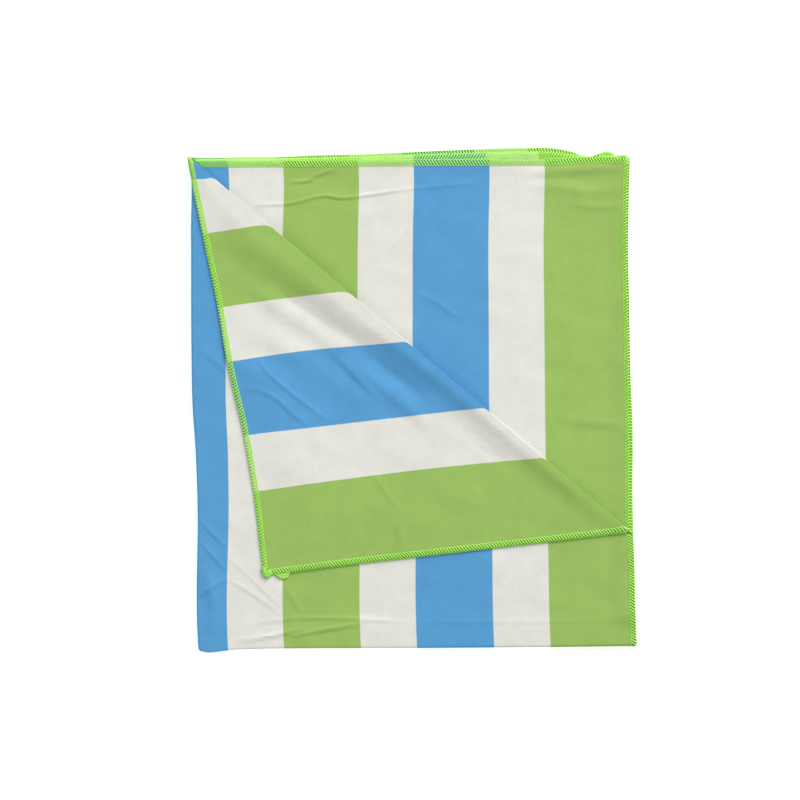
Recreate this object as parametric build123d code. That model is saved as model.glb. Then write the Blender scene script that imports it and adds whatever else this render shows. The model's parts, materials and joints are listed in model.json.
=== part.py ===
from build123d import *
import os
from math import hypot

# A large quick-dry travel towel, folded into an eight-ply stack with the top ply's corner
# turned down. Millimetres. +X points from the folded spine to the open side edges, +Y from
# the bottom fold to the top edge and +Z up. The origin is under the middle of the stack.

# The towel laid flat, and its cloth.
TOWEL_WIDTH = 800.0
TOWEL_LENGTH = 1800.0
CLOTH = 0.6
HEM_WIDTH = 6.5
HEM_THICKNESS = 0.8

# It is halved along its length, then across its width, then along its length again.
FOLDED_WIDTH = TOWEL_WIDTH / 2
FOLDED_DEPTH = TOWEL_LENGTH / 4
PITCH = 1.1
PLIES_PER_HALF = 4
FOLD_CLEARANCE = 0.3

# The turned-down corner of the top ply. Its fold runs from the spine near the top edge to
# the side edge, this far below the top edge at each end.
CORNER_FOLD_DROP_AT_SPINE = 4.0
CORNER_FOLD_DROP_AT_SIDE = 346.0
ROLL_HEIGHT = 5.0
ROLL_LIP = 12.0
ROLL_BACK = 30.0
ROLL_TAKE_UP = 14.6
ROLL_END_MARGIN = 14.0
LIP_GAP = 1.0

SIDE_X = FOLDED_WIDTH / 2
TOP_Y = FOLDED_DEPTH / 2

# Middle levels of the stack's folds. Each half has its spine folds round its own middle.
MIDDLE_LEVEL = PLIES_PER_HALF - 0.5
LOWER_SPINE_LEVEL = (PLIES_PER_HALF - 1) / 2
UPPER_SPINE_LEVEL = PLIES_PER_HALF + LOWER_SPINE_LEVEL
UPPER_TOP_FOLD_LEVEL = PLIES_PER_HALF - 1.5
LOWER_TOP_FOLD_LEVEL = UPPER_TOP_FOLD_LEVEL - 2


def level_z(level):
    """Height of the middle of a ply. Level 0 is the lowest ply, 7 the highest."""
    return HEM_THICKNESS / 2 + level * PITCH


def nested_radius(plies_apart):
    """Middle radius of a fold that joins two plies of the stack."""
    return plies_apart * PITCH / 2


SPINE_OUTER = nested_radius(3)
SPINE_INNER = nested_radius(1)
SPINE_X = -SIDE_X + SPINE_OUTER + CLOTH / 2
BOTTOM_OUTER = nested_radius(2 * PLIES_PER_HALF - 1)
PIVOT_Y = -TOP_Y + BOTTOM_OUTER + CLOTH / 2
LEAF_TOP_Y = TOP_Y - nested_radius(1) - CLOTH / 2
HEM_X = SIDE_X - HEM_WIDTH
HEM_Y = TOP_Y - HEM_WIDTH


def panel(outline, level, thickness=CLOTH):
    """A flat piece of cloth with this outline, centred on a level of the stack."""
    low = level_z(level) - thickness / 2
    return extrude(Pos(0, 0, low) * outline, amount=thickness)


def area(x_low, x_high, y_low, y_high):
    """A rectangle in plan."""
    across = x_high - x_low
    along = y_high - y_low
    return Pos(x_low + across / 2, y_low + along / 2) * Rectangle(across, along)


def polygon(*corners):
    """A flat face in plan with these corners."""
    return make_face(Polyline(*corners, close=True))


def half_ring(radius, length):
    """A fold: half a tube about local Z that bulges towards local -X."""
    outer = radius + CLOTH / 2
    ring = Circle(outer) - Circle(radius - CLOTH / 2)
    half = ring & (Pos(-outer / 2, 0) * Rectangle(outer, 2 * outer))
    return extrude(half, amount=length)


def spine_fold(radius, middle_level):
    """A fold on the spine side, the whole depth of the leaf."""
    low = PIVOT_Y + FOLD_CLEARANCE
    at = Plane((SPINE_X, HEM_Y, level_z(middle_level)), x_dir=(1, 0, 0), z_dir=(0, -1, 0))
    return at * half_ring(radius, HEM_Y - low)


def top_fold(middle_level):
    """A fold at the top edge of the lower half, between two plies that lie together."""
    at = Plane((HEM_X, LEAF_TOP_Y, level_z(middle_level)), x_dir=(0, -1, 0), z_dir=(-1, 0, 0))
    return at * half_ring(nested_radius(1), HEM_X - SPINE_X)


def bottom_fold(plies_apart):
    """A fold at the bottom edge that joins a lower ply to an upper one."""
    at = Plane((SPINE_X, PIVOT_Y, level_z(MIDDLE_LEVEL)), x_dir=(0, 1, 0), z_dir=(1, 0, 0))
    return at * half_ring(nested_radius(plies_apart), SIDE_X - SPINE_X)


class CornerFold:
    """The diagonal fold of the turned-down corner, in plan."""

    def __init__(self):
        self.top = (-SIDE_X, TOP_Y - CORNER_FOLD_DROP_AT_SPINE)
        self.foot = (SIDE_X, TOP_Y - CORNER_FOLD_DROP_AT_SIDE)
        run = self.foot[0] - self.top[0]
        rise = self.foot[1] - self.top[1]
        self.length = hypot(run, rise)
        self.along = (run / self.length, rise / self.length)
        self.out = (-self.along[1], self.along[0])
        reach_x = SIDE_X - self.top[0]
        reach_y = TOP_Y - self.top[1]
        along = reach_x * self.along[0] + reach_y * self.along[1]
        across = reach_x * self.out[0] + reach_y * self.out[1]
        self.corner = self.point(along, ROLL_TAKE_UP - across)

    def point(self, along, out):
        """A point this far along the fold from its top, and this far outside it."""
        x = self.top[0] + along * self.along[0] + out * self.out[0]
        y = self.top[1] + along * self.along[1] + out * self.out[1]
        return (x, y)

    def strip(self, inner, outer):
        """The band between two distances inside the fold, past both of its ends."""
        past = FOLDED_DEPTH
        return polygon(
            self.point(-past, -inner),
            self.point(self.length + past, -inner),
            self.point(self.length + past, -outer),
            self.point(-past, -outer),
        )

    def flap(self):
        """The turned-down corner's triangle."""
        return polygon(self.top, self.foot, self.corner)

    def edge_strip(self, start, end):
        """The hem's band along one edge of the flap, on the flap's side of that edge."""
        run = end[0] - start[0]
        rise = end[1] - start[1]
        scale = HEM_WIDTH / hypot(run, rise)
        inward = (-rise * scale, run * scale)
        return polygon(
            start,
            end,
            (end[0] + inward[0], end[1] + inward[1]),
            (start[0] + inward[0], start[1] + inward[1]),
        )


FOLD = CornerFold()


def lower_half():
    """The four plies that stay on the table, with their folds and side hems."""
    low = PIVOT_Y + FOLD_CLEARANCE
    nodes = {}
    for number in range(1, PLIES_PER_HALF + 1):
        level = PLIES_PER_HALF - number
        nodes[f"lower_ply_{number}"] = panel(area(SPINE_X, HEM_X, low, LEAF_TOP_Y), level)
        hem = area(HEM_X, SIDE_X, low, LEAF_TOP_Y)
        nodes[f"lower_side_hem_{number}"] = panel(hem, level, HEM_THICKNESS)
    nodes["lower_spine_outer"] = spine_fold(SPINE_OUTER, LOWER_SPINE_LEVEL)
    nodes["lower_spine_inner"] = spine_fold(SPINE_INNER, LOWER_SPINE_LEVEL)
    nodes["lower_top_fold_upper"] = top_fold(UPPER_TOP_FOLD_LEVEL)
    nodes["lower_top_fold_lower"] = top_fold(LOWER_TOP_FOLD_LEVEL)
    return nodes


def upper_half():
    """The four plies of the leaf that opens, without the turned-down corner."""
    low = PIVOT_Y + FOLD_CLEARANCE
    ply = area(SPINE_X, HEM_X, low, HEM_Y)
    side_hem = area(HEM_X, SIDE_X, low, HEM_Y)
    end_hem = area(SPINE_X, SIDE_X, HEM_Y, TOP_Y)
    beyond_lip = FOLD.strip(ROLL_LIP + LIP_GAP, -FOLDED_DEPTH)
    nodes = {}
    for number in range(1, PLIES_PER_HALF + 1):
        level = 2 * PLIES_PER_HALF - number
        if number == 1:
            nodes["upper_ply_1"] = panel(ply - beyond_lip, level)
            nodes["upper_side_hem_1"] = panel(side_hem - beyond_lip, level, HEM_THICKNESS)
        else:
            nodes[f"upper_ply_{number}"] = panel(ply, level)
            nodes[f"upper_side_hem_{number}"] = panel(side_hem, level, HEM_THICKNESS)
            nodes[f"upper_end_hem_{number}"] = panel(end_hem, level, HEM_THICKNESS)
    nodes["upper_spine_outer"] = spine_fold(SPINE_OUTER, UPPER_SPINE_LEVEL)
    nodes["upper_spine_inner"] = spine_fold(SPINE_INNER, UPPER_SPINE_LEVEL)
    return nodes


def bottom_folds():
    """The four nested folds that the upper half turns on, outermost first."""
    nodes = {}
    for number in range(1, PLIES_PER_HALF + 1):
        plies_apart = 2 * (PLIES_PER_HALF - number) + 1
        nodes[f"bottom_fold_{number}"] = bottom_fold(plies_apart)
    return nodes


def corner_roll():
    """The soft rolled fold of the corner: a lip, a half turn and a slope back down."""
    bend = ROLL_HEIGHT / 2
    lip = Line((-ROLL_LIP, 0), (-bend, 0))
    turn = ThreePointArc((-bend, 0), (0, bend), (-bend, ROLL_HEIGHT))
    slope = Line((-bend, ROLL_HEIGHT), (-ROLL_BACK, PITCH))
    band = offset(lip + turn + slope, amount=CLOTH / 2, side=Side.BOTH)
    start = FOLD.point(ROLL_END_MARGIN, 0)
    at = Plane(
        (start[0], start[1], level_z(2 * PLIES_PER_HALF - 1)),
        x_dir=(FOLD.out[0], FOLD.out[1], 0),
        z_dir=(FOLD.along[0], FOLD.along[1], 0),
    )
    roll = at * extrude(make_face(band), amount=FOLD.length - 2 * ROLL_END_MARGIN)
    past_turn = CLOTH
    outline = polygon(
        FOLD.point(0, past_turn),
        FOLD.point(FOLD.length, past_turn),
        FOLD.corner,
    )
    return roll & extrude(outline, amount=level_z(2 * PLIES_PER_HALF) + ROLL_HEIGHT)


def corner_flap():
    """The corner that is turned down over the top ply, with its two hems."""
    roll = FOLD.strip(-FOLDED_DEPTH, ROLL_BACK + LIP_GAP)
    end_edge = FOLD.edge_strip(FOLD.top, FOLD.corner)
    side_edge = FOLD.edge_strip(FOLD.corner, FOLD.foot)
    flap = FOLD.flap() - roll
    level = 2 * PLIES_PER_HALF
    return {
        "flap_ply": panel(flap - end_edge - side_edge, level),
        "flap_end_hem": panel(flap & end_edge, level, HEM_THICKNESS),
        "flap_side_hem": panel((flap & side_edge) - end_edge, level, HEM_THICKNESS),
        "flap_roll": corner_roll(),
    }


def main():
    os.makedirs("parts", exist_ok=True)
    for nodes in (lower_half(), upper_half(), bottom_folds(), corner_flap()):
        for name, shape in nodes.items():
            export_step(shape, f"parts/{name}.step")


main()
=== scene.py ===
import bpy
import json
import numpy as np
from math import hypot, pi, radians
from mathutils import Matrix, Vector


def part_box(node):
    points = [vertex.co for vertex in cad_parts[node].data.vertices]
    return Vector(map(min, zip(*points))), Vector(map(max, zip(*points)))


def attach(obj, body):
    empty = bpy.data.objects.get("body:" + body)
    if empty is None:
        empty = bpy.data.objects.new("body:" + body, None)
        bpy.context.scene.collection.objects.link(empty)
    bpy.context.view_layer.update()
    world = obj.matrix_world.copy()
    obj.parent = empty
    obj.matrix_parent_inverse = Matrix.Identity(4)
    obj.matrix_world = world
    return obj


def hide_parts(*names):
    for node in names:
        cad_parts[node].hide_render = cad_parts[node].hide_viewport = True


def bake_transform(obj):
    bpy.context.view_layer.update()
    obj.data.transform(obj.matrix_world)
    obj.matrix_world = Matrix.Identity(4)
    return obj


# A large striped quick-dry towel, folded into eight plies with the top ply's corner turned
# down. Lengths are millimetres until a mesh is made, in the frame of the CAD model: +X from
# the folded spine to the open side edges, +Y from the bottom fold to the top edge, +Z up.
# A point of the cloth is (u, v) on the flat towel: u runs across it from its middle line and
# v along it from the end with the turned-down corner.

MM = 0.001
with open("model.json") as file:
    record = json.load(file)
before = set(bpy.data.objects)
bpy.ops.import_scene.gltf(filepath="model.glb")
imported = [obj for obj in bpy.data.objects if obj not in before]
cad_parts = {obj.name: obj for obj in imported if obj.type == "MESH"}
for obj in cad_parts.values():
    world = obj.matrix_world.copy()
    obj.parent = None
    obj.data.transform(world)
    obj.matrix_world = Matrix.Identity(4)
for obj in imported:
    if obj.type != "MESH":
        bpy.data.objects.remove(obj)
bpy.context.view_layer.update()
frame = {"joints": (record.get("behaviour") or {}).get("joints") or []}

# The towel laid flat, and its cloth.
HALF_WIDTH = 400.0
LENGTH = 1800.0
END_FOLD = LENGTH / 2
BOTTOM_FOLD = LENGTH / 4
HALF_DEPTH = LENGTH / 8
CLOTH = 0.56

# Printed stripes, from the middle line outwards: where each one ends, and its colour.
BLUE, WHITE, GREEN = "blue", "white", "green"
STRIPES = [
    (34.4, BLUE), (84.5, WHITE), (153.4, GREEN), (203.7, WHITE),
    (272.9, BLUE), (323.4, WHITE), (402.0, GREEN),
]

# Overlocked edge: how wide it is on each edge, its stitches and the thread.
SIDE_HEM = 4.7
END_HEM = 5.3
TURNED_SIDE_HEM = 4.6
TURNED_END_HEM = 4.1
STITCH = 2.75
STRAND_WIDTH = 1.25
STRAND_HEIGHT = 0.6
CHAIN_HALF_HEIGHT = STRAND_HEIGHT / 1.4
NEEDLE_WIDTH = 0.7
STRAND_SIDES = 6

# How much painted shade darkens a strand's flanks against its crown: fully, or a little round the
# edge.
FULL_PAINTED_SHADE = 1.0
CHAIN_PAINTED_SHADE = 0.3

# The twisted tails of thread at the corners: the size of their strands, how far these swing
# and lift, the length of one twist, and how bright their crowns are, which gives them more painted
# shade.
TAIL_HALF_WIDTH = 1.125
TAIL_HALF_HEIGHT = 0.48
TAIL_SWING = 0.9
TAIL_LIFT = 0.35
TAIL_TWIST = 4.5
TAIL_BRIGHTNESS = 0.6


def middle_height(node):
    """Height of the middle of a CAD node, in millimetres."""
    low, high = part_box(node)
    return (low.z + high.z) / 2 / MM


# The stack, read from the frame. The inner radius is that of a fold between two plies that
# lie together.
TOP_LEVEL = middle_height("upper_ply_1")
LOWEST_LEVEL = middle_height("lower_ply_4")
PITCH = (TOP_LEVEL - LOWEST_LEVEL) / 7
MIDDLE = (TOP_LEVEL + LOWEST_LEVEL) / 2
HALF_FOLD = next(joint for joint in frame["joints"] if joint["name"] == "half_fold")
PIVOT_Y = HALF_FOLD["pos_m"][1] / MM
SIDE_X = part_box("upper_side_hem_2")[1].x / MM
SPINE_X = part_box("upper_spine_outer")[1].x / MM
INNER_RADIUS = 0.5 * PITCH

# The bottom bend takes this much cloth from every ply, and its piece has a straight strip
# on either side of that. The plies of the lower half lie a little shorter.
BEND_CLOTH = 6.9
STRAIGHT_BY_BEND = 10.0
LEAF = BOTTOM_FOLD - BEND_CLOTH / 2
LEAF_END = LEAF - STRAIGHT_BY_BEND
LOWER_HALF_SCALE = 0.99

# How far the spine's fold lies from the middle line: by the bottom fold, and at the second
# end of the towel. That end also lies a little in from the spine, near its own edge.
MIDDLE_AT_BOTTOM = 6.5
MIDDLE_AT_SECOND_END = 5.0
SECOND_END_INSET = 4.5
SECOND_END_INSET_REACH = 300.0

# The stack's outline, as (y, x) knots of its spine edge and of its open side edge.
SPINE_EDGE = [
    (-232, -195.0), (-215, -196.2), (-91, -196.5), (-46, -198.2), (-5, -201.0), (46, -202.0),
    (152, -202.4), (215, -203.1), (224, -204.3),
]
OPEN_EDGE = [
    (-224, 203.4), (-183, 201.6), (-133, 200.6), (-91, 199.9), (-20, 199.6), (46, 199.0),
    (91, 198.2), (137, 197.3), (183, 197.8), (216, 198.6),
]
# How far the outermost bend stands out at the bottom edge, as (x, y shift) knots, and how far
# up from the edge that reaches.
BOTTOM_EDGE = [
    (-200, -5.6), (-194, -7.6), (-187, -9.2), (-181, -8.8), (-172, -7.6), (-160, -6.2),
    (-138, -5.4), (-100, -4.8), (0, -4.5), (58, -4.0), (135, -3.2), (200, -1.9),
]
BOTTOM_EDGE_REACH = 60.0

# The soft relief on top: its rolling waves, and its rise at the open side edge and at the
# top edge as (height, where it starts, how long it takes). It fades in above the bottom bend.
ROLLING_HEIGHT = 0.85
SIDE_RISE = (1.3, 178, 18)
TOP_RISE = (0.7, 203, 14)
RELIEF_FADE = 16.0

# The diagonal fold of the turned-down corner, in plan and on the flat towel.
FOLD_TOP = np.array([-203.1, 221.4])
FOLD_FOOT = np.array([199.5, -120.8])
CREASE_FOOT_V = 340.0
CREASE = hypot(HALF_WIDTH, CREASE_FOOT_V)
CREASE_ALONG = np.array([HALF_WIDTH, CREASE_FOOT_V]) / CREASE
CREASE_OUT = np.array([CREASE_ALONG[1], -CREASE_ALONG[0]])
FOLD_LENGTH = float(np.linalg.norm(FOLD_FOOT - FOLD_TOP))
FOLD_ALONG = (FOLD_FOOT - FOLD_TOP) / FOLD_LENGTH
FOLD_OUT = np.array([-FOLD_ALONG[1], FOLD_ALONG[0]])
CORNER_ALONG = HALF_WIDTH * CREASE_ALONG[0]
CORNER_ACROSS = HALF_WIDTH * CREASE_OUT[0]

# Along the crease, as (place, value) knots: how wide and how high its roll is, how much cloth
# the flap takes up, and how far the cloth slips along the crease at the hem and at the roll.
ROLL_WIDTH = [
    (0, 0.2), (12, 1.4), (32, 5.5), (72, 11), (193, 11), (265, 6.5), (361, 4), (494, 2.5),
    (525, 1.2),
]
ROLL_HALF_HEIGHT = [
    (0, 0.4), (40, 1.3), (80, 2.2), (140, 3.0), (240, 3.0), (360, 2.3), (494, 1.3), (525, 0.6),
]
TAKE_UP = [
    (0, 0.0), (26, 7.6), (65, 9.1), (117, 11.4), (156, 11.6), (208, 15.0), (247, 14.3),
    (304, 11.6), (400, 5.8), (470, 2.4), (525, 0),
]
END_HEM_SLIP = [
    (0, -3.4), (26, -11.5), (65, -10.4), (117, -8.8), (156, -8.8), (208, -6.8), (247, -5.5),
    (304, -7.6), (525, 0),
]
CREASE_SLIP = [
    (0, 0.0), (20, -8), (30, -10.7), (38, -11.2), (45, -9.8), (111, -4.7), (202, -3.5),
    (268, -3.0), (358, -3.2), (424, 0), (525, 0),
]

# How square the roll stands, how far behind it the flap takes to settle, and the shortest length
# that the flap is drawn out over.
ROLL_STEEPNESS = 8
ROLL_SETTLE_REACH = 7.0
SHORTEST_FLAP = 0.2

# Columns of the top ply's mesh: fine ones by its corner's roll, fine ones by the spine, and
# the rest between them. Each group crowds towards its own edge, and the roll's line is found
# in a few steps. The turned corner has columns of its own.
ROLL_STRIP = 30.0
ROLL_COLUMNS = 20
ROLL_CROWDING = 1.5
SPINE_STRIP = 10.0
SPINE_COLUMNS = 12
REST_COLUMNS = 160
SPINE_CROWDING = 1.2
FLAP_COLUMNS = 124
ROLL_LINE_STEPS = 6

# The other plies have 1 mm columns in a strip by the spine, and fine rows in a strip by the
# end-to-end fold. The plies that hardly show are coarse elsewhere.
PLIES_SPINE_STRIP = 14
END_FOLD_STRIP = 2.0
FOLD_ROW = 0.25
HIDDEN_SPACING = 4.5


def curve(x, knots):
    """A smooth curve through (place, value) knots, level past its ends."""
    at, value = np.array(knots, float).T
    slope = np.gradient(value, at)
    x = np.clip(x, at[0], at[-1])
    i = np.clip(np.searchsorted(at, x, side="right") - 1, 0, len(at) - 2)
    span = at[i + 1] - at[i]
    f = (x - at[i]) / span
    start = value[i] * (1 + 2 * f) * (1 - f) ** 2 + slope[i] * span * f * (1 - f) ** 2
    stop = value[i + 1] * f * f * (3 - 2 * f) - slope[i + 1] * span * f * f * (1 - f)
    return start + stop


def ease(x):
    """0 below 0, 1 above 1 and smooth between."""
    x = np.clip(x, 0, 1)
    return x * x * (3 - 2 * x)


def waves(x, y, seed, longest, shortest, count):
    """A soft uneven relief between about -1 and 1, made of long waves in many directions."""
    random = np.random.default_rng(seed)
    total = 0
    for length in np.geomspace(longest, shortest, count):
        direction = random.uniform(0, 2 * pi)
        phase = random.uniform(0, 2 * pi)
        across = x * np.cos(direction) + y * np.sin(direction)
        total = total + (length / longest) ** 0.7 * np.cos(2 * pi * across / length + phase)
    return total / count ** 0.5


# How far each ply's side hem stands out past the stack's open edge, as (y, x) knots.
SIDE_HEM_SHIFT = {
    "top_front": [(-225, 2.0), (-133, 2.0), (-115, 1.5)],
    "second_back": [
        (-225, 1.2), (-140, 1.6), (-80, 1.7), (-30, 2.0), (20, 0.4), (60, -1.2), (110, -3.8),
        (221, -9),
    ],
    "top_back": [(-225, 1.2), (-30, 0.8), (60, -3), (221, -19)],
    "lower": [(-225, 0.0), (0, -2.5), (221, -4)],
}
# Where each end hem's outer edge lies, as (x, y) knots.
END_HEM_Y = {
    "second_front": [
        (-200, 218.4), (-100, 219.0), (0, 219.7), (100, 220.2), (135, 220.6), (157, 221.8),
        (185, 222.2), (200, 221.6),
    ],
    "second_back": [
        (-200, 219.4), (-110, 220.4), (-50, 221.8), (0, 223.8), (58, 225.8), (108, 227.0),
        (134, 226.4), (150, 223.6), (163, 222.2), (180, 222.0), (190, 223.4), (200, 223.0),
    ],
    "top_back": [
        (-206, 222.8), (-191, 221.6), (-156, 222.0), (-122, 222.1), (-86, 223.7), (-30, 225.0),
        (7, 227.0), (58, 229.1), (105, 230.4), (134, 229.8), (148, 227.0), (158, 223.6),
        (166, 223.0), (173, 225.4), (178, 226.4), (185, 225.2),
    ],
}
# Over this length of a ply its cloth is drawn out or in, so that its end hem lies there.
END_HEM_REACH = 130.0


def stack_middle(v):
    """Distance of the spine fold from the towel's printed middle line."""
    v = np.asarray(v, float)
    down = np.where(v < END_FOLD, v, LENGTH - v)
    turned = ease(down / BOTTOM_FOLD)
    second = np.where(v < END_FOLD, 0, 1)
    return MIDDLE_AT_BOTTOM * turned + MIDDLE_AT_SECOND_END * second * (1 - turned)


def by_ply(front, v):
    """Which kind of ply each flat point is in."""
    return {
        "top_front": front & (v < BOTTOM_FOLD),
        "second_front": front & (v > LENGTH - BOTTOM_FOLD),
        "second_back": ~front & (v > LENGTH - BOTTOM_FOLD),
        "top_back": ~front & (v < BOTTOM_FOLD),
        "lower": (v >= BOTTOM_FOLD) & (v <= LENGTH - BOTTOM_FOLD),
    }


def gradual_rise(place, shape):
    """A smooth rise of some height, from where it starts over the length it takes."""
    height, start, length = shape
    return height * ease((place - start) / length)


def relief(x, y):
    """The stack's soft unevenness, in millimetres at its top."""
    edge = gradual_rise(x, SIDE_RISE) + gradual_rise(y, TOP_RISE)
    rolling = ROLLING_HEIGHT * waves(x, y, seed=5, longest=260, shortest=28, count=14)
    return (rolling + edge) * ease((y - PIVOT_Y - STRAIGHT_BY_BEND) / RELIEF_FADE)


def settle(x, y, z):
    """Moves a point of the straight stack to the real stack's outline and relief."""
    left = curve(y, SPINE_EDGE)
    right = curve(y, OPEN_EDGE)
    across = (x + SIDE_X) / (2 * SIDE_X)
    x = left + across * (right - left)
    outermost = np.abs(z - MIDDLE) / (TOP_LEVEL - MIDDLE)
    near_bottom = ease((BOTTOM_EDGE_REACH - HALF_DEPTH - y) / BOTTOM_EDGE_REACH)
    y = y + curve(x, BOTTOM_EDGE) * outermost * near_bottom
    return np.stack([x, y, z * (1 + relief(x, y) / TOP_LEVEL)], -1)


def stack_point(u, v):
    """Where a point of the flat towel lies in the folded stack, with no corner turned down."""
    u, v = np.broadcast_arrays(np.asarray(u, float), np.asarray(v, float))
    middle = stack_middle(v)
    front = u >= middle
    ply = by_ply(front, v)

    # The end-to-end fold puts the second end's cloth inside the first end's.
    past = v - END_FOLD
    arc = pi / 2 * INNER_RADIUS
    angle = np.clip(past / INNER_RADIUS, -pi / 2, pi / 2)
    straight = np.maximum(np.abs(past) - arc, 0)
    down = END_FOLD - arc + INNER_RADIUS * np.cos(angle) - straight
    layer = PITCH - INNER_RADIUS * np.sin(angle)

    # The fold along the middle line makes the spine.
    second = 1 - np.clip((layer - INNER_RADIUS) / PITCH, 0, 1)
    inset = SECOND_END_INSET * second * (1 - ease(down / SECOND_END_INSET_REACH))
    straight_y = PIVOT_Y + LEAF - down
    shift = 0
    for kind, knots in SIDE_HEM_SHIFT.items():
        shift = shift + np.where(ply[kind], curve(straight_y, knots), 0)
    side = np.where(front, 1, -1)
    reach = SIDE_X - SPINE_X + pi / 2 * layer + shift - inset
    from_spine = (u - middle) * reach / (HALF_WIDTH - side * middle)
    turn = np.clip(from_spine / layer, -pi / 2, pi / 2)
    past_turn = np.maximum(np.abs(from_spine) - pi / 2 * layer, 0)
    x = SPINE_X + inset - layer * np.cos(turn) + past_turn
    outward = layer * np.sin(turn)

    # The bottom fold nests the four layers.
    radius = 2 * PITCH + outward
    bend = np.clip((down - BOTTOM_FOLD) / (BEND_CLOTH / 2), -1, 1) * pi / 2
    run = np.maximum(np.abs(down - BOTTOM_FOLD) - BEND_CLOTH / 2, 0)
    run = run * np.where(down < BOTTOM_FOLD, 1, LOWER_HALF_SCALE)
    y = PIVOT_Y - radius * np.cos(bend) + run
    z = MIDDLE - radius * np.sin(bend)

    # Each end hem stops at its own place, and the top ply's length follows its crease.
    for kind, knots in END_HEM_Y.items():
        gain = curve(x, knots) - (PIVOT_Y + LEAF)
        y = y + np.where(ply[kind], gain * ease(1 - down / END_HEM_REACH), 0)
    past_end = 20
    crease_y = np.interp(
        down, [-past_end, 0, CREASE_FOOT_V, LEAF],
        [FOLD_TOP[1] + past_end, FOLD_TOP[1], FOLD_FOOT[1], PIVOT_Y])
    y = np.where(ply["top_front"] & (down < LEAF), crease_y, y)
    return settle(x, y, z)


def crease_place(u, v):
    """Distance along the flat crease, and past it towards the turned-down corner."""
    along = u * CREASE_ALONG[0] + v * CREASE_ALONG[1]
    across = u * CREASE_OUT[0] + v * CREASE_OUT[1]
    return along, across


def flat_place(along, across):
    """The flat point at a place by the crease."""
    u = along * CREASE_ALONG[0] + across * CREASE_OUT[0]
    v = along * CREASE_ALONG[1] + across * CREASE_OUT[1]
    return u, v


def flap_edge(along):
    """How far past the crease the turned-down corner reaches."""
    end_hem = along * CORNER_ACROSS / CORNER_ALONG
    side_hem = (CREASE - along) * CORNER_ACROSS / (CREASE - CORNER_ALONG)
    return np.minimum(end_hem, side_hem)


# The turned-down corner's soft unevenness, which fades towards its free edges.
FLAP_UNEVENNESS = 0.55
FLAP_EDGE_FADE = 70.0

# Soft folds that run beside the crease: how far in from the roll, from and to which place
# along it, how wide each is and how high. Each fades over this length at both ends.
FLAP_FOLD_FADE = 40.0
FLAP_FOLDS = [
    (22, 120, 250, 7, -0.9),
    (38, 110, 240, 8, 0.9),
    (26, 225, 330, 6, -0.8),
    (42, 215, 340, 7, 1.1),
    (66, 130, 300, 12, 0.9),
    (24, 330, 420, 6, -0.6),
    (95, 60, 240, 16, 0.7),
]


def flap_height(along, inward, to_edge, x, y):
    """Height of the turned-down corner over the top ply, by distance from its roll and edge."""
    uneven = 1 + waves(x, y, seed=11, longest=210, shortest=30, count=10)
    height = PITCH + FLAP_UNEVENNESS * uneven * ease(to_edge / FLAP_EDGE_FADE)
    for place, start, stop, width, rise in FLAP_FOLDS:
        taper = ease((along - start) / FLAP_FOLD_FADE) * ease((stop - along) / FLAP_FOLD_FADE)
        height = height + rise * taper * np.exp(-(((inward - place) / width) ** 2))
    return np.maximum(height, PITCH)


def top_ply_point(u, v):
    """Where a point of the top ply lies, with its corner turned down."""
    u, v = np.broadcast_arrays(np.asarray(u, float), np.asarray(v, float))
    unturned = stack_point(u, v)
    along, across = crease_place(u, v)

    # The roll is a half turn, and the flap past it runs back over the ply. Its cloth is drawn
    # out or slips along the crease by the amounts that put its hems where they lie.
    width = curve(along, ROLL_WIDTH)
    turn = np.clip((across + width) / width, 0, pi) - pi / 2
    past_roll = np.maximum(across - (pi - 1) * width, 0)
    to_hem = np.maximum(flap_edge(np.clip(along, 0, CREASE)) - (pi - 1) * width, SHORTEST_FLAP)
    pulled = 1 - (1 - np.clip(past_roll / to_hem, 0, 1)) ** 2
    extra = (curve(along, TAKE_UP) - (pi - 2) * width) * pulled
    out = width * (np.cos(turn) - 1) - past_roll + extra
    crease_slip = curve(along, CREASE_SLIP) * ease((across + width) / width) * (1 - pulled)
    slip = curve(along, END_HEM_SLIP) * pulled + crease_slip

    # Where the roll starts it joins the ply that isn't turned.
    start_u, start_v = flat_place(along, -width)
    line = FOLD_TOP + (along * FOLD_LENGTH / CREASE)[..., None] * FOLD_ALONG
    step = stack_point(start_u, start_v)[..., :2] - (line - width[..., None] * FOLD_OUT)
    step = step * (1 - ease((across + width) / (pi / 2 * width)))[..., None]
    place = line + out[..., None] * FOLD_OUT + slip[..., None] * FOLD_ALONG + step
    x, y = place[..., 0], place[..., 1]

    # The flap settles from the roll's height to its own.
    rise = curve(along, ROLL_HALF_HEIGHT)
    on_flap = flap_height(along, past_roll, to_hem - past_roll, x, y)
    settled = 1 - np.exp(-((past_roll / (ROLL_SETTLE_REACH + width)) ** 2))
    resting = 2 * rise + (on_flap - 2 * rise) * settled
    upright = 1 - (0.5 - turn / pi) ** ROLL_STEEPNESS
    height = np.where(turn < pi / 2, 2 * rise * upright, resting)
    z = TOP_LEVEL * (1 + relief(x, y) / TOP_LEVEL) + height
    turned = np.stack([x, y, z], -1)
    return np.where((across > -width)[..., None], turned, unturned)


def smooth_line(points, steps=6):
    """A smooth line through a few given points."""
    points = np.array(points, float)
    at = np.arange(len(points))
    fine = np.linspace(0, len(points) - 1, (len(points) - 1) * steps + 1)
    return np.stack([curve(fine, list(zip(at, values))) for values in points.T], -1)


# Every pressed crease's shoulder is this many times as wide as its ridge, and both fade out
# at its ends, faster with a higher power. The heights below are all scaled alike.
SHOULDER_REACH = 5
CREASE_FADE = 0.6
CREASE_CONTRAST = 1.4


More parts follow.
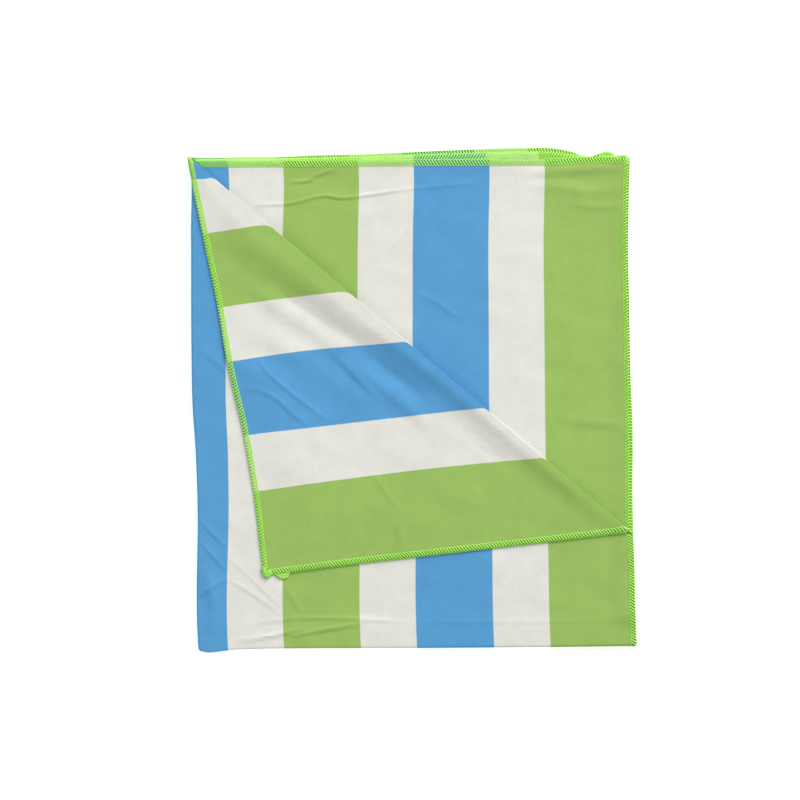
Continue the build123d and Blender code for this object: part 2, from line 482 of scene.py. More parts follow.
def crease_height(x, y, points, width, rise, shoulder):
    """A thin ridge along a line, with a soft shoulder on its left side, fading at both ends."""
    line = smooth_line(points)
    nearest = np.full(np.shape(x), 1e9)
    on_left = np.zeros(np.shape(x), bool)
    place = np.zeros(np.shape(x))
    lengths = np.linalg.norm(np.diff(line, axis=0), axis=1)
    walked = np.concatenate([[0], np.cumsum(lengths)])
    for i, (start, run) in enumerate(zip(line[:-1], np.diff(line, axis=0))):
        step = ((x - start[0]) * run[0] + (y - start[1]) * run[1]) / lengths[i] ** 2
        step = np.clip(step, 0, 1)
        away_x = x - start[0] - step * run[0]
        away_y = y - start[1] - step * run[1]
        away = np.hypot(away_x, away_y)
        closer = away < nearest
        nearest = np.where(closer, away, nearest)
        on_left = np.where(closer, run[0] * away_y > run[1] * away_x, on_left)
        place = np.where(closer, (walked[i] + step * lengths[i]) / walked[-1], place)
    fade = np.sin(pi * np.clip(place, 0, 1)) ** CREASE_FADE
    ridge = np.exp(-((nearest / width) ** 2))
    slope = np.exp(-((nearest / (SHOULDER_REACH * width)) ** 2)) * on_left * (1 - ridge)
    return fade * (rise * ridge + shoulder * slope)


# Creases pressed into the cloth: the points that each runs through, its width, its height
# and its shoulder.
SECOND_PLY_CREASES = [
    ([(-112, 199), (-94, 201), (-89, 205), (-70, 212)], 1.3, 0.8, 0.2),
    ([(-150, 178), (-112, 180), (-82, 187), (-64, 185), (-38, 188), (-11, 192)], 1.3, 0.7, 0.2),
    ([(-46, 187), (-11, 192), (62, 199)], 1.5, 0.3, 0.1),
    ([(3, 99), (22, 90), (46, 73)], 1.6, 0.45, 0.1),
    ([(100, 207), (140, 210), (180, 213), (194, 213)], 5.0, 0.7, 0.0),
    ([(104, 196), (140, 195), (160, 191), (196, 195)], 6.0, 0.6, 0.0),
    ([(146, 180), (172, 177), (194, 178)], 4.0, 0.5, 0.3),
    ([(130, -16), (160, -20), (196, -22)], 4.0, 0.5, 0.2),
]
TOP_PLY_CREASES = [
    ([(-198, 46), (-183, 38), (-168, 24)], 1.6, 0.5, 0.2),
    ([(-196, -108), (-183, -122), (-168, -136)], 1.5, 0.45, 0.15),
    ([(-193, -130), (-181, -144), (-169, -157)], 1.4, 0.45, 0.15),
    ([(-196, -180), (-182, -171), (-168, -162)], 1.5, 0.75, 0.3),
    ([(-170, -143), (-146, -164), (-117, -192)], 1.5, 0.28, 0.12),
    ([(-170, -163), (-148, -176), (-117, -198)], 1.5, 0.36, 0.12),
    ([(-116, -172), (-108, -184), (-100, -199)], 1.5, 0.35, 0.1),
    ([(-150, -206), (-110, -200), (-60, -200), (-11, -203)], 1.4, 0.5, 0.12),
    ([(-50, -200), (-11, -203), (99, -203), (199, -201)], 1.6, 0.2, 0.1),
    ([(-160, -221), (-130, -216), (-100, -209)], 1.4, 0.8, 0.25),
    ([(-114, -217), (-85, -211), (-56, -206), (-42, -202)], 1.4, 0.8, 0.3),
    ([(-190, -150), (-181, -190), (-186, -214)], 6.0, 0.8, 0.0),
]
FLAP_CREASES = [
    ([(-160, 11), (-144, 10), (-125, 2), (-107, -14), (-90, -26)], 1.7, 0.55, 0.15),
    ([(-141, 38), (-130, 23), (-102, 0), (-75, -20)], 1.7, 0.55, 0.15),
    ([(-36, -66), (-24, -84), (-10, -103)], 1.7, 0.45, 0.1),
    ([(-13, -108), (-10, -124), (-8, -140)], 3.5, 0.5, 0.0),
    ([(-86, 96), (-66, 82), (-44, 67)], 3.0, 0.6, 0.2),
    ([(-76, 46), (-61, 32), (-27, -3)], 3.0, 0.6, 0.2),
]


def creases(points, lines):
    """The cloth's points raised along these creases."""
    x, y = points[..., 0], points[..., 1]
    rise = sum(crease_height(x, y, *line) for line in lines)
    above_bend = ease((points[..., 2] - MIDDLE) / (2 * PITCH))
    raised = points.copy()
    raised[..., 2] += CREASE_CONTRAST * np.maximum(rise, 0) * above_bend
    return raised


def outside_fold(points):
    """Distance in plan outside the line of the corner's fold."""
    return (points[..., :2] - FOLD_TOP) @ FOLD_OUT


def second_ply_point(u, v):
    """The second ply, creased only where it shows beyond the corner's fold."""
    place = stack_point(u, v)
    hidden_to = 2
    fade = 6
    shown = ease((outside_fold(place) - hidden_to) / fade)[..., None]
    return place + (creases(place, SECOND_PLY_CREASES) - place) * shown


def creased_top_ply_point(u, v):
    """The top ply and its turned-down corner, each with its own creases."""
    place = top_ply_point(u, v)
    along, across = crease_place(np.asarray(u, float), np.asarray(v, float))
    width = curve(along, ROLL_WIDTH)
    fade = 10
    on_flap = ease((across - 3 * width) / fade)[..., None]
    on_ply = ease((-across - 2 * width) / fade)[..., None]
    flap_rise = creases(place, FLAP_CREASES) - place
    ply_rise = creases(place, TOP_PLY_CREASES) - place
    return place + flap_rise * on_flap + ply_rise * on_ply


def unit(vectors):
    """These directions with length 1."""
    return vectors / np.maximum(np.linalg.norm(vectors, axis=-1, keepdims=True), 1e-9)


def face_normal(point, u, v):
    """The direction that the cloth's printed face looks in, at flat points."""
    step = 0.5
    across = point(u + step, v) - point(u - step, v)
    down = point(u, v + step) - point(u, v - step)
    return unit(np.cross(down, across))


def new_object(name, data):
    """An object in the scene."""
    item = bpy.data.objects.new(name, data)
    bpy.context.scene.collection.objects.link(item)
    return item


def new_piece(name, vertices, faces, flat, material):
    """A smooth mesh piece with its flat cloth place stored on every vertex."""
    mesh = bpy.data.meshes.new(name)
    vertices[:, 2] = np.maximum(vertices[:, 2], 0)
    mesh.from_pydata((vertices * MM).tolist(), [], faces.tolist())
    attribute = mesh.attributes.new("flat", "FLOAT_VECTOR", "POINT")
    place = np.zeros((len(vertices), 3), np.float32)
    place[:, :2] = flat * MM
    attribute.data.foreach_set("vector", place.ravel())
    mesh.polygons.foreach_set("use_smooth", np.ones(len(faces), bool))
    mesh.materials.append(material)
    mesh.set_sharp_from_angle(angle=radians(60))
    return new_object(name, mesh)


def grid_faces(rows, columns, around=False):
    """The quads of a grid of vertices, closed across its columns if it goes around."""
    index = np.arange(rows * columns).reshape(rows, columns)
    if around:
        index = np.concatenate([index, index[:, :1]], axis=1)
    quads = np.stack([index[:-1, :-1], index[1:, :-1], index[1:, 1:], index[:-1, 1:]], -1)
    return quads.reshape(-1, 4)


def flat_area(u, v):
    """Area in square metres of a grid of flat points."""
    corner = np.stack([u, v], -1)
    diagonal = corner[1:, 1:] - corner[:-1, :-1]
    other = corner[1:, :-1] - corner[:-1, 1:]
    doubled = np.abs(diagonal[..., 0] * other[..., 1] - diagonal[..., 1] * other[..., 0])
    return doubled.sum() / 2 * MM * MM


def cloth_piece(name, point, u, v):
    """A closed sheet of cloth over a grid of flat points, thickened about its middle."""
    middle = point(u, v)
    rows, columns = u.shape
    normal = unit(np.cross(np.gradient(middle, axis=0), np.gradient(middle, axis=1)))
    top = (middle + normal * CLOTH / 2).reshape(-1, 3)
    bottom = (middle - normal * CLOTH / 2).reshape(-1, 3)
    quads = grid_faces(rows, columns)
    offset = rows * columns
    under = quads[:, ::-1] + offset
    index = np.arange(offset).reshape(rows, columns)
    loop = np.concatenate([index[:, 0], index[-1, 1:], index[-2::-1, -1], index[0, -2:0:-1]])
    after = np.roll(loop, -1)
    wall = np.stack([after, loop, loop + offset, after + offset], -1)
    vertices = np.concatenate([top, bottom])
    flat = np.tile(np.stack([u, v], -1).reshape(-1, 2), (2, 1))
    piece = new_piece(name, vertices, np.concatenate([quads, under, wall]), flat, CLOTH_MATERIAL)
    return piece, flat_area(u, v)


def strand(path, normal, half_width, half_height):
    """A flattened thread along a path: its vertices, faces and how far up each vertex faces."""
    half_width = np.broadcast_to(half_width, len(path))[:, None, None]
    run = unit(np.gradient(path, axis=0))
    side = unit(np.cross(run, normal))
    up = np.cross(side, run)
    angles = np.arange(STRAND_SIDES) * 2 * pi / STRAND_SIDES
    ring = (side[:, None] * np.cos(angles)[None, :, None] * half_width
            + up[:, None] * np.sin(angles)[None, :, None] * half_height)
    vertices = (path[:, None] + ring).reshape(-1, 3)
    faces = grid_faces(len(path), STRAND_SIDES, around=True)
    return vertices, faces, np.tile(np.sin(angles), len(path))


# One stitch of each thread as (part of the stitch along the edge, share of the hem's depth in
# from the edge, height off the cloth's middle, share of the thread's width).
NEEDLE = [(0.0, 1.0, 0.26, 0.8), (0.22, 1.0, 0.42, 1.0), (0.78, 1.0, 0.42, 1.0)]
LOOPER = [
    (0.00, 1.02, 0.34, 0.7), (0.36, 0.76, 0.56, 1.0), (0.78, 0.44, 0.64, 1.0),
    (1.12, 0.16, 0.56, 1.0), (1.25, 0.02, 0.22, 0.8), (1.00, 0.26, 0.30, 0.4),
    (0.42, 0.72, 0.30, 0.4), (0.15, 1.00, 0.30, 0.4),
]
CHAIN = [
    (0.0, 0.16, 0.46, 0.8), (0.42, -0.03, 0.30, 1.0), (0.60, -0.06, -0.10, 0.9),
    (0.85, 0.04, -0.38, 0.8),
]

# The threads of an overlocked edge: stitch, face of the cloth, half width, half height, and
# how much painted shade darkens its flanks.
THREADS = [
    (NEEDLE, 1, NEEDLE_WIDTH / 2, STRAND_HEIGHT / 2, FULL_PAINTED_SHADE),
    (LOOPER, 1, STRAND_WIDTH / 2, STRAND_HEIGHT / 2, FULL_PAINTED_SHADE),
    (LOOPER, -1, STRAND_WIDTH / 2, STRAND_HEIGHT / 2, FULL_PAINTED_SHADE),
    (CHAIN, 1, STRAND_WIDTH / 2, CHAIN_HALF_HEIGHT, CHAIN_PAINTED_SHADE),
]


def stitch_path(point, edge, start, stop, depth, stitch, face):
    """One thread's path along an edge: its points, their face normals, flat places and widths."""
    count = max(2, round(abs(stop - start) / STITCH))
    along, inward, height, width = np.array(stitch).T
    places = start + (stop - start) * (np.arange(count)[:, None] + along[None]) / count
    places = np.clip(places, min(start, stop), max(start, stop))
    deep = np.tile(inward * depth, (count, 1))
    u, v = edge(places.ravel(), deep.ravel())
    normal = face_normal(point, u, v)
    lift = np.tile(height, count)[:, None] * face
    flat = np.stack([u, v], -1)
    return point(u, v) + normal * lift, normal * face, flat, np.tile(width, count)


def thread_tail(points, level, above):
    """A short loop of chained thread left at a corner: three strands that twist together."""
    line = smooth_line(points, 10)
    x, y = line.T
    z = level * (1 + relief(x, y) / TOP_LEVEL) + above
    path = np.stack([x, y, z], -1)
    side = unit(np.cross(np.gradient(path, axis=0), (0, 0, 1)))
    walked = np.concatenate([[0], np.cumsum(np.linalg.norm(np.diff(path, axis=0), axis=1))])
    strands = []
    for start in (0, 2 * pi / 3, 4 * pi / 3):
        twist = start + 2 * pi * walked / TAIL_TWIST
        swing = side * (np.sin(twist) * TAIL_SWING)[:, None]
        swing[:, 2] += TAIL_LIFT * np.cos(twist)
        normal = np.tile((0.0, 0.0, 1.0), (len(path), 1))
        strands.append(strand(path + swing, normal, TAIL_HALF_WIDTH, TAIL_HALF_HEIGHT))
    return strands


def overlock(name, point, edge, start, stop, depth, tails=()):
    """The threads of the overlocked edge, over both faces and round the edge, as one piece."""
    strands = []
    for stitch, face, half_width, half_height, flank_painted_shade in THREADS:
        path, normal, flat, width = stitch_path(point, edge, start, stop, depth, stitch, face)
        path[:, 2] = np.maximum(path[:, 2], half_height)
        vertices, faces, up = strand(path, normal, half_width * width, half_height)
        flat = np.repeat(flat, STRAND_SIDES, axis=0)
        # Painted shade: each strand's flanks darken by how far they face away from up.
        strands.append((vertices, faces, flat, 1 - flank_painted_shade * (1 - up)))
    for tail in tails:
        for vertices, faces, up in thread_tail(*tail):
            flat = np.zeros((len(vertices), 2))
            # Painted shade: the tails take more of it than the stitches, so their crowns stay
            # duller.
            strands.append((vertices, faces, flat, TAIL_BRIGHTNESS * up))
    all_vertices, all_faces, all_flat, all_up = zip(*strands)
    before = np.cumsum([0] + [len(vertices) for vertices in all_vertices[:-1]])
    shifted = [faces + first for faces, first in zip(all_faces, before)]
    piece = new_piece(name, np.concatenate(all_vertices), np.concatenate(shifted),
                      np.concatenate(all_flat), THREAD_MATERIAL)
    attribute = piece.data.attributes.new("up", "FLOAT", "POINT")
    attribute.data.foreach_set("value", np.concatenate(all_up).astype(np.float32))
    return piece


def side_edge(sign):
    """The long edge of the towel on one side, as a place along it and a distance in."""
    def place(along, inward):
        return sign * (HALF_WIDTH - inward), along
    return place


def end_edge(end):
    """A short edge of the towel, as a place along it and a distance in."""
    def place(along, inward):
        return along, end + inward if end == 0 else end - inward
    return place


# ---------------- materials

def new_material(name):
    """An empty node material and its shader."""
    material = bpy.data.materials.new(name)
    material.use_nodes = True
    shader = material.node_tree.nodes["Principled BSDF"]
    return material, shader


def add_node(material, kind, **values):
    """A node with its properties or input values set."""
    node = material.node_tree.nodes.new("ShaderNode" + kind)
    for key, value in values.items():
        if key in node.inputs:
            node.inputs[key].default_value = value
        else:
            setattr(node, key, value)
    return node


def set_inputs(node, values):
    """Sets a node's inputs by their names."""
    for name, value in values.items():
        node.inputs[name].default_value = value


def feed(material, value, socket):
    """Links another socket to this one, or sets it to a number or a colour."""
    if isinstance(value, bpy.types.NodeSocket):
        material.node_tree.links.new(value, socket)
    else:
        socket.default_value = value


def calculate(material, operation, *values):
    """A sum, product or the like of sockets and numbers."""
    node = add_node(material, "Math", operation=operation)
    for value, socket in zip(values, node.inputs):
        feed(material, value, socket)
    return node.outputs[0]


def remap(material, value, low, high, to_low=0.0, to_high=1.0):
    """A value carried from one range to another, and kept within it."""
    node = add_node(material, "MapRange")
    feed(material, value, node.inputs["Value"])
    set_inputs(node, {"From Min": low, "From Max": high, "To Min": to_low, "To Max": to_high})
    return node.outputs[0]


def mix_colours(material, share, first, second, blend_type="MIX"):
    """One colour that gives way to another as the share goes to 1."""
    node = add_node(material, "Mix", data_type="RGBA", blend_type=blend_type)
    feed(material, share, node.inputs["Factor"])
    feed(material, first, node.inputs["A"])
    feed(material, second, node.inputs["B"])
    return node.outputs["Result"]


def noise(material, place, **values):
    """A noise texture over the given places."""
    node = add_node(material, "TexNoise", **values)
    feed(material, place, node.inputs["Vector"])
    return node.outputs["Fac"]


def bands(material, place, **values):
    """A texture of diagonal bands over the given places."""
    node = add_node(material, "TexWave", bands_direction="DIAGONAL", **values)
    feed(material, place, node.inputs["Vector"])
    return node.outputs["Fac"]


def surface(material, shader, height, strength, distance, roughness):
    """The fine bumps of a surface and how rough it is."""
    bump = add_node(material, "Bump", Strength=strength, Distance=distance)
    feed(material, height, bump.inputs["Height"])
    feed(material, bump.outputs["Normal"], shader.inputs["Normal"])
    feed(material, roughness, shader.inputs["Roughness"])


def linear(red, green, blue):
    """A colour given as 0 to 255 display values, in the renderer's linear values."""
    display = np.array([red, green, blue]) / 255
    dark = display / 12.92
    light = ((display + 0.055) / 1.055) ** 2.4
    return (*np.where(display <= 0.04045, dark, light), 1.0)


STRIPE_COLOURS = {
    BLUE: linear(88, 160, 212),
    WHITE: linear(230, 230, 222),
    GREEN: linear(157, 192, 97),
}
THREAD_COLOUR = linear(196, 253, 120)
THREAD_DARKER_FIBRE = linear(176, 244, 92)
# Painted shade: the dark green that a strand's flanks turn to, for the shade between strands.
THREAD_PAINTED_SHADE = linear(112, 196, 58)
# Painted light and shade: the green that the thread throws on the cloth under it, multiplied into
# the print.
UNDER_STITCHES_PAINTED_LIGHT = (0.74, 1.0, 0.48, 1.0)

# How wide the painted green light and shade under the stitches is and how soft its inner side,
# how soft the printed stripes' edges are and how far they wander.
PAINTED_LIGHT_EDGE = 4.4
PAINTED_LIGHT_SOFTNESS = 0.4
PRINT_SOFTNESS = 0.6
PRINT_WANDER = 0.6


def step_between(material, value, start, stop):
    """0 to 1 as a value in metres goes between two lengths in millimetres."""
    return remap(material, value, start * MM, stop * MM)


def stripes(material, distance):
    """The printed stripes, by distance from the towel's middle line in metres."""
    colour = STRIPE_COLOURS[STRIPES[0][1]]
    soft = PRINT_SOFTNESS / 2
    for (edge, _), (_, following) in zip(STRIPES, STRIPES[1:]):
        past = step_between(material, distance, edge - soft, edge + soft)
        colour = mix_colours(material, past, colour, STRIPE_COLOURS[following])
    return colour


def painted_light_under_stitches(material, distance, along):
    """1 on the cloth under the overlock, where green light from the thread and shade under it are
    painted.
    """
    inner = PAINTED_LIGHT_EDGE + PAINTED_LIGHT_SOFTNESS
    total = step_between(material, distance, HALF_WIDTH - inner, HALF_WIDTH - PAINTED_LIGHT_EDGE)
    for start, stop in ((inner, PAINTED_LIGHT_EDGE), (LENGTH - inner, LENGTH - PAINTED_LIGHT_EDGE)):
        near_end = step_between(material, along, start, stop)
        total = calculate(material, "MAXIMUM", total, near_end)
    return total


def towel_cloth():
    """Printed microfibre suede: soft stripe edges, a fine short nap over a tight weave."""
    material, shader = new_material("towel_cloth")
    flat = add_node(material, "Attribute", attribute_name="flat").outputs["Vector"]
    parts = add_node(material, "SeparateXYZ")
    feed(material, flat, parts.inputs[0])
    distance = calculate(material, "ABSOLUTE", parts.outputs["X"])
    bleed = noise(material, flat, Scale=900.0, Detail=2.0)
    wandering = calculate(material, "MULTIPLY_ADD", bleed, PRINT_WANDER * MM, distance)
    printed = stripes(material, wandering)

    painted_light_share = painted_light_under_stitches(material, distance, parts.outputs["Y"])
    # Painted light and shade under the overlock: the print there turns green and darker.
    with_painted_light = mix_colours(material, painted_light_share, printed, UNDER_STITCHES_PAINTED_LIGHT, "MULTIPLY")
    mottle = noise(material, flat, Scale=60.0, Detail=8.0, Roughness=0.75)
    mottled = add_node(material, "VectorMath", operation="SCALE")
    feed(material, with_painted_light, mottled.inputs[0])
    feed(material, remap(material, mottle, 0.3, 0.7, 0.93, 1.045), mottled.inputs["Scale"])
    feed(material, mottled.outputs[0], shader.inputs["Base Color"])

    nap = noise(material, flat, Scale=1500.0, Detail=4.0, Roughness=0.7)
    weave = bands(material, flat, Scale=420.0, Distortion=1.5, Detail=2.0)
    height = calculate(material, "MULTIPLY_ADD", weave, 0.45, nap)
    surface(material, shader, height, 0.35, 0.00022, remap(material, nap, 0.0, 1.0, 0.78, 0.92))
    set_inputs(shader, {"Specular IOR Level": 0.25, "Sheen Weight": 0.18, "Sheen Roughness": 0.45})
    return material


def overlock_thread():
    """Bright green textured yarn, with a fine twist along each strand."""
    material, shader = new_material("overlock_thread")
    place = add_node(material, "TexCoord").outputs["Object"]
    fibre = noise(material, place, Scale=1400.0, Detail=3.0, Roughness=0.6)
    patch = noise(material, place, Scale=160.0, Detail=2.0)
    ramp = add_node(material, "ValToRGB")
    feed(material, calculate(material, "MULTIPLY", fibre, patch), ramp.inputs[0])
    darker_fibre, yarn = ramp.color_ramp.elements
    darker_fibre.position = 0.12
    darker_fibre.color = THREAD_DARKER_FIBRE
    yarn.position = 0.40
    yarn.color = THREAD_COLOUR
    # Painted shade: a strand's flanks give way to the dark green by how far they face away from
    # up, and the crown keeps the yarn's colour.
    facing = add_node(material, "Attribute", attribute_name="up").outputs["Fac"]
    crown = remap(material, facing, 0.0, 0.85)
    colour = mix_colours(material, crown, THREAD_PAINTED_SHADE, ramp.outputs["Color"])
    feed(material, colour, shader.inputs["Base Color"])

    twist = bands(material, place, Scale=700.0, Distortion=3.0, Detail=2.0)
    surface(material, shader, twist, 0.4, 0.0001, remap(material, fibre, 0.0, 1.0, 0.5, 0.75))
    set_inputs(shader, {"Sheen Weight": 0.2, "Sheen Roughness": 0.4})
    return material


# Loops of chained thread left at the corners: the points that each runs through, its ply's
# height and how far above that it lies.
SECOND_LEVEL = TOP_LEVEL - PITCH
FOURTH_LEVEL = TOP_LEVEL - 3 * PITCH
FOURTH_PLY_TAILS = [
    ([(171.0, 221.0), (174.2, 224.4), (178.2, 225.9), (182.4, 224.8), (186.0, 221.4)],
     FOURTH_LEVEL, 0.2),
    ([(173.0, 220.4), (176.2, 222.6), (180.0, 223.0), (184.0, 220.8)], FOURTH_LEVEL, 0.4),
]
SECOND_PLY_TAILS = [
    ([(187.0, 220.4), (191.0, 222.3), (194.6, 222.5), (197.3, 220.4), (198.0, 216.5)],
     SECOND_LEVEL, 0.1),
]
CORNER_TAILS = [
    ([(-136.4, -153.0), (-135.4, -158.2), (-132.6, -161.0), (-130.2, -159.4), (-129.4, -156.0)],
     TOP_LEVEL, 1.6),
    ([(-135.4, -154.6), (-134.0, -158.2), (-132.2, -158.4), (-131.4, -155.6)], TOP_LEVEL, 1.8),
    ([(-124.8, -158.0), (-121.8, -161.2), (-117.9, -162.4), (-114.6, -161.0), (-112.6, -156.6)],
     TOP_LEVEL, 0.8),
    ([(-122.6, -157.0), (-119.4, -159.9), (-116.2, -159.8), (-114.4, -156.6)], TOP_LEVEL, 0.8),
]


CLOTH_MATERIAL = towel_cloth()
THREAD_MATERIAL = overlock_thread()


# ---------------- pieces

def spread(low, high, spacing):
    """Even places from low to high, at most this far apart."""
    return np.linspace(low, high, int(np.ceil((high - low) / spacing)) + 1)


def stretches(*parts):
    """Places through several stretches that join, each given as (low, high, spacing)."""
    first, *others = [spread(*part) for part in parts]
    return np.concatenate([first] + [places[1:] for places in others])


def side_grid(sign, v, spacing):
    """Flat points from the spine fold to the side edge, close together round the fold."""
    across = stretches((0, PLIES_SPINE_STRIP, 1.0), (PLIES_SPINE_STRIP, HALF_WIDTH, spacing))
    start = stack_middle(v)[:, None]
    u = start + (sign * HALF_WIDTH - start) * across[None] / HALF_WIDTH
    return u, np.tile(v[:, None], (1, u.shape[1]))


def hem_piece(name, point, edge, start, stop, depth, body, node, tails=()):
    """An overlocked edge that rides on one body."""
    hem = overlock(name, point, edge, start, stop, depth, tails)
    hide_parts(node)
    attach(hem, body)
    return hem


def blend_corner(piece):
    """Bakes a piece's transform into its mesh."""
    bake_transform(piece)


def silhouette(along):
    """How far past the crease the roll's outermost line is."""
    return (pi / 2 - 1) * curve(along, ROLL_WIDTH)


def roll_line(v):
    """Distance of the roll's outermost line from the towel's middle line."""
    crease = v * HALF_WIDTH / CREASE_FOOT_V
    line = crease
    for _ in range(ROLL_LINE_STEPS):
        along, _ = crease_place(line, v)
        line = crease + silhouette(along) / CREASE_OUT[0]
    return np.minimum(line, HALF_WIDTH)


def crowded(count, strength):
    """Shares from 0 up to 1, left out, that crowd towards 0."""
    return (np.arange(count) / count) ** strength


def top_ply():
    """The top ply, up to the outermost line of its corner's roll."""
    near_end = 0.8
    hidden_to = 300
    foot = CREASE_FOOT_V + 4
    v = stretches((near_end, hidden_to, 3.4), (hidden_to, foot, 2.0), (foot, LEAF_END, 1.5))
    middle = stack_middle(v)[:, None]
    far = roll_line(v)[:, None]
    share = np.minimum((far - middle) / (2 * ROLL_STRIP), 1)
    start = middle + share * SPINE_STRIP
    stop = far - share * ROLL_STRIP
    inner = middle + share * SPINE_STRIP * crowded(SPINE_COLUMNS, SPINE_CROWDING)
    between = start + (stop - start) * np.linspace(0, 1, REST_COLUMNS) ** SPINE_CROWDING
    outer = far - share * ROLL_STRIP * crowded(ROLL_COLUMNS, ROLL_CROWDING)
    u = np.concatenate([inner, between, outer[:, ::-1]], axis=1)
    v = np.tile(v[:, None], (1, u.shape[1]))
    piece, area = cloth_piece("top_ply", creased_top_ply_point, u, v)
    hem_start = CREASE_FOOT_V + 2
    hem = hem_piece("top_ply_side_overlock", creased_top_ply_point, side_edge(1),
                    hem_start, LEAF_END, SIDE_HEM, "upper_half", "upper_side_hem_1")
    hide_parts("upper_ply_1")
    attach(piece, "upper_half")


def turned_corner():
    """The corner of the top ply that is turned down over it, with its two hems."""
    margin = 1.6
    narrowest = 0.4
    spacing = 1.9
    along = stretches((margin, CORNER_ALONG, spacing), (CORNER_ALONG, CREASE - margin, spacing))
    start = silhouette(along)
    stop = np.maximum(flap_edge(along), start + narrowest)
    share = np.linspace(0, 1, FLAP_COLUMNS) ** SPINE_CROWDING
    across = start[:, None] + (stop - start)[:, None] * share[None]
    u, v = flat_place(np.tile(along[:, None], (1, len(share))), across)
    piece, area = cloth_piece("turned_corner", creased_top_ply_point, u, v)
    short_of_crease = 0.6
    end_hem = overlock("corner_end_overlock", creased_top_ply_point, end_edge(0),
                       short_of_crease, HALF_WIDTH, TURNED_END_HEM, CORNER_TAILS)
    side_hem = overlock("corner_side_overlock", creased_top_ply_point, side_edge(1),
                        0.0, CREASE_FOOT_V - short_of_crease, TURNED_SIDE_HEM)
    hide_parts("flap_end_hem")
    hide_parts("flap_side_hem")
    hems = [end_hem, side_hem]
    for hem in hems:
        blend_corner(hem)
    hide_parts("flap_ply", "flap_roll")
    blend_corner(piece)


def plain_ply(name, point, sign, v, spacing, body, nodes, side_node, end=None, tails=()):
    """A ply between its spine and its side hem, with the end hem it has if it has one.

    The overlock runs one way round the whole towel."""
    piece, area = cloth_piece(name, point, *side_grid(sign, v, spacing))
    first, last = (v.min(), v.max())[::sign]
    hems = [hem_piece(name + "_side_overlock", point, side_edge(sign), first, last, SIDE_HEM,
                      body, side_node)]
    if end is not None:
        at, end_node = end
        left, right = sorted((0.0, sign * HALF_WIDTH))
        first, last = (left, right) if at == 0 else (right, left)
        hems.append(hem_piece(name + "_end_overlock", point, end_edge(at), first, last, END_HEM,
                              body, end_node, tails))
    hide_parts(*nodes)
    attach(piece, body)


def second_ply():
    """The ply under the top one, which shows beyond the turned-down corner."""
    low = LENGTH - LEAF_END
    hidden_to = low + 100
    near_edge = LENGTH - 60
    v = stretches((low, hidden_to, 6.0), (hidden_to, near_edge, 2.4), (near_edge, LENGTH, 1.2))
    plain_ply("second_ply", second_ply_point, 1, v, 2.0, "upper_half", ["upper_ply_2"],
              "upper_side_hem_2", (LENGTH, "upper_end_hem_2"), SECOND_PLY_TAILS)


def inner_plies():
    """The six plies that show only at their edges."""
    coarse = HIDDEN_SPACING
    first_end = stretches((0, LEAF_END, coarse))
    second_end = stretches((LENGTH - LEAF_END, LENGTH, coarse))
    plain_ply("third_ply", stack_point, -1, second_end, coarse, "upper_half",
              ["upper_ply_3", "upper_spine_inner"], "upper_side_hem_3",
              (LENGTH, "upper_end_hem_3"))
    plain_ply("fourth_ply", stack_point, -1, first_end, coarse, "upper_half",
              ["upper_ply_4", "upper_spine_outer"], "upper_side_hem_4",
              (0, "upper_end_hem_4"), FOURTH_PLY_TAILS)
    first = 2 * BOTTOM_FOLD - LEAF_END
    last = LENGTH - first
    near = END_FOLD - END_FOLD_STRIP
    past = END_FOLD + END_FOLD_STRIP
    to_fold = stretches((first, near, coarse), (near, END_FOLD, FOLD_ROW))
    from_fold = stretches((END_FOLD, past, FOLD_ROW), (past, last, coarse))
    plain_ply("fifth_ply", stack_point, -1, to_fold, coarse, "lower_half",
              ["lower_ply_1"], "lower_side_hem_1")
    plain_ply("sixth_ply", stack_point, -1, from_fold, coarse, "lower_half",
              ["lower_ply_2", "lower_top_fold_upper"], "lower_side_hem_2")
    plain_ply("seventh_ply", stack_point, 1, from_fold, coarse, "lower_half",
              ["lower_ply_3", "lower_spine_inner"], "lower_side_hem_3")
    plain_ply("eighth_ply", stack_point, 1, to_fold, coarse, "lower_half",
              ["lower_ply_4", "lower_top_fold_lower", "lower_spine_outer"],
              "lower_side_hem_4")


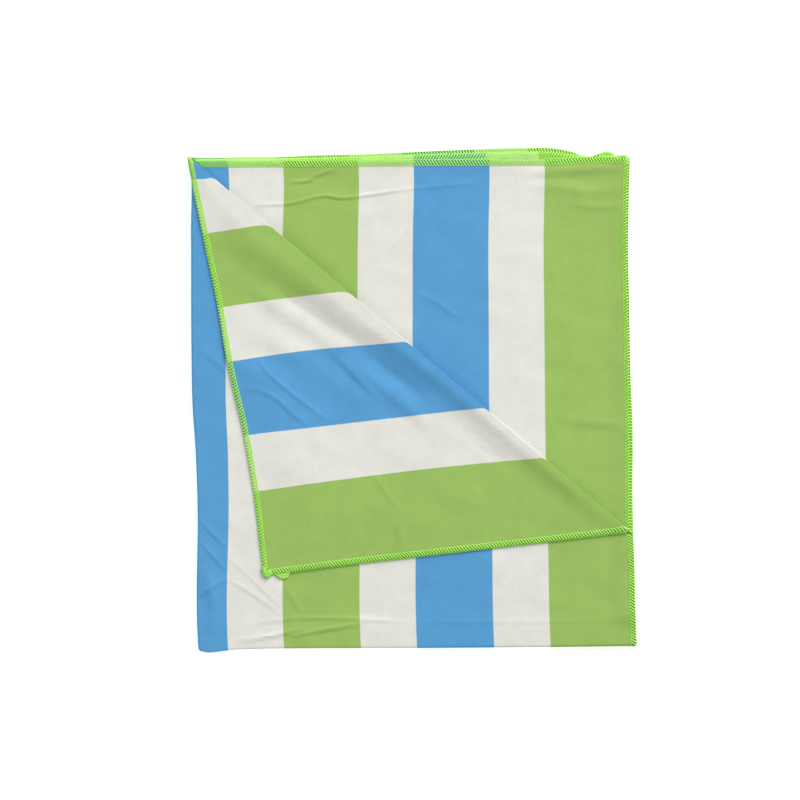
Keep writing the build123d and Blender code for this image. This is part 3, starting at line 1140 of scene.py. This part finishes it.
def bottom_bends():
    """The cloth of the four nested bends at the bottom edge, outermost first."""
    second_fold = LENGTH - BOTTOM_FOLD
    bends = [(1, BOTTOM_FOLD, 7), (1, second_fold, 5), (-1, second_fold, 3), (-1, BOTTOM_FOLD, 1)]
    half = BEND_CLOTH / 2
    past = half + STRAIGHT_BY_BEND
    from_crease = stretches((-past, -half, 2.0), (-half, half, BEND_CLOTH / 16), (half, past, 2.0))
    for number, (sign, crease, plies_apart) in enumerate(bends, 1):
        v = crease + from_crease
        name = f"bottom_bend_{number}"
        point = creased_top_ply_point if number == 1 else stack_point
        piece, _ = cloth_piece(name, point, *side_grid(sign, v, HIDDEN_SPACING))
        first, last = (v[0], v[-1])[::sign]
        hem = overlock(name + "_overlock", point, side_edge(sign), first, last, SIDE_HEM)
        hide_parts(f"bottom_fold_{number}")
        for part in (piece, hem):
            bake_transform(part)


top_ply()
turned_corner()
second_ply()
inner_plies()
bottom_bends()


# ---------------- stage

def floor():
    """A plain white floor."""
    material, shader = new_material("floor")
    set_inputs(shader, {
        "Base Color": (0.95, 0.95, 0.95, 1), "Roughness": 0.9,
        "Emission Color": (1, 1, 1, 1), "Emission Strength": 0.55,
    })
    mesh = bpy.data.meshes.new("floor")
    reach = 20.0
    corners = [(-reach, -reach, 0), (reach, -reach, 0), (reach, reach, 0), (-reach, reach, 0)]
    mesh.from_pydata(corners, [], [(0, 1, 2, 3)])
    mesh.materials.append(material)
    new_object("floor", mesh)


def area_light(name, place, size, power):
    """A soft square light aimed at the towel."""
    lamp = bpy.data.lights.new(name, "AREA")
    lamp.size = size
    lamp.energy = power
    light = new_object(name, lamp)
    light.location = place
    aim = -light.location
    light.rotation_euler = aim.to_track_quat("-Z", "Y").to_euler()


def studio():
    """A soft white room with one broad light from the upper right and a weak one opposite."""
    world = bpy.data.worlds.new("studio")
    world.use_nodes = True
    set_inputs(world.node_tree.nodes["Background"], {"Color": (1, 1, 1, 1), "Strength": 0.39})
    bpy.context.scene.world = world
    area_light("key", (2.7, 4.3, 2.4), 3.0, 398)
    area_light("fill", (-1.5, -0.8, 1.4), 1.2, 8)
    bpy.context.scene.view_settings.view_transform = "Standard"


# In metres: the camera's height above the towel, how wide its view is there and where the
# view's middle lies.
CAMERA_HEIGHT = 3.0
VIEW_WIDTH = 0.732
VIEW_MIDDLE_X = -0.011


def camera():
    """A long lens straight above the towel."""
    lens = bpy.data.cameras.new("camera")
    lens.sensor_width = 36.0
    lens.lens = lens.sensor_width * CAMERA_HEIGHT / VIEW_WIDTH
    lens.clip_end = 50.0
    view = new_object("camera", lens)
    view.location = (VIEW_MIDDLE_X, 0, CAMERA_HEIGHT + TOP_LEVEL * MM)
    bpy.context.scene.camera = view


floor()
studio()
camera()
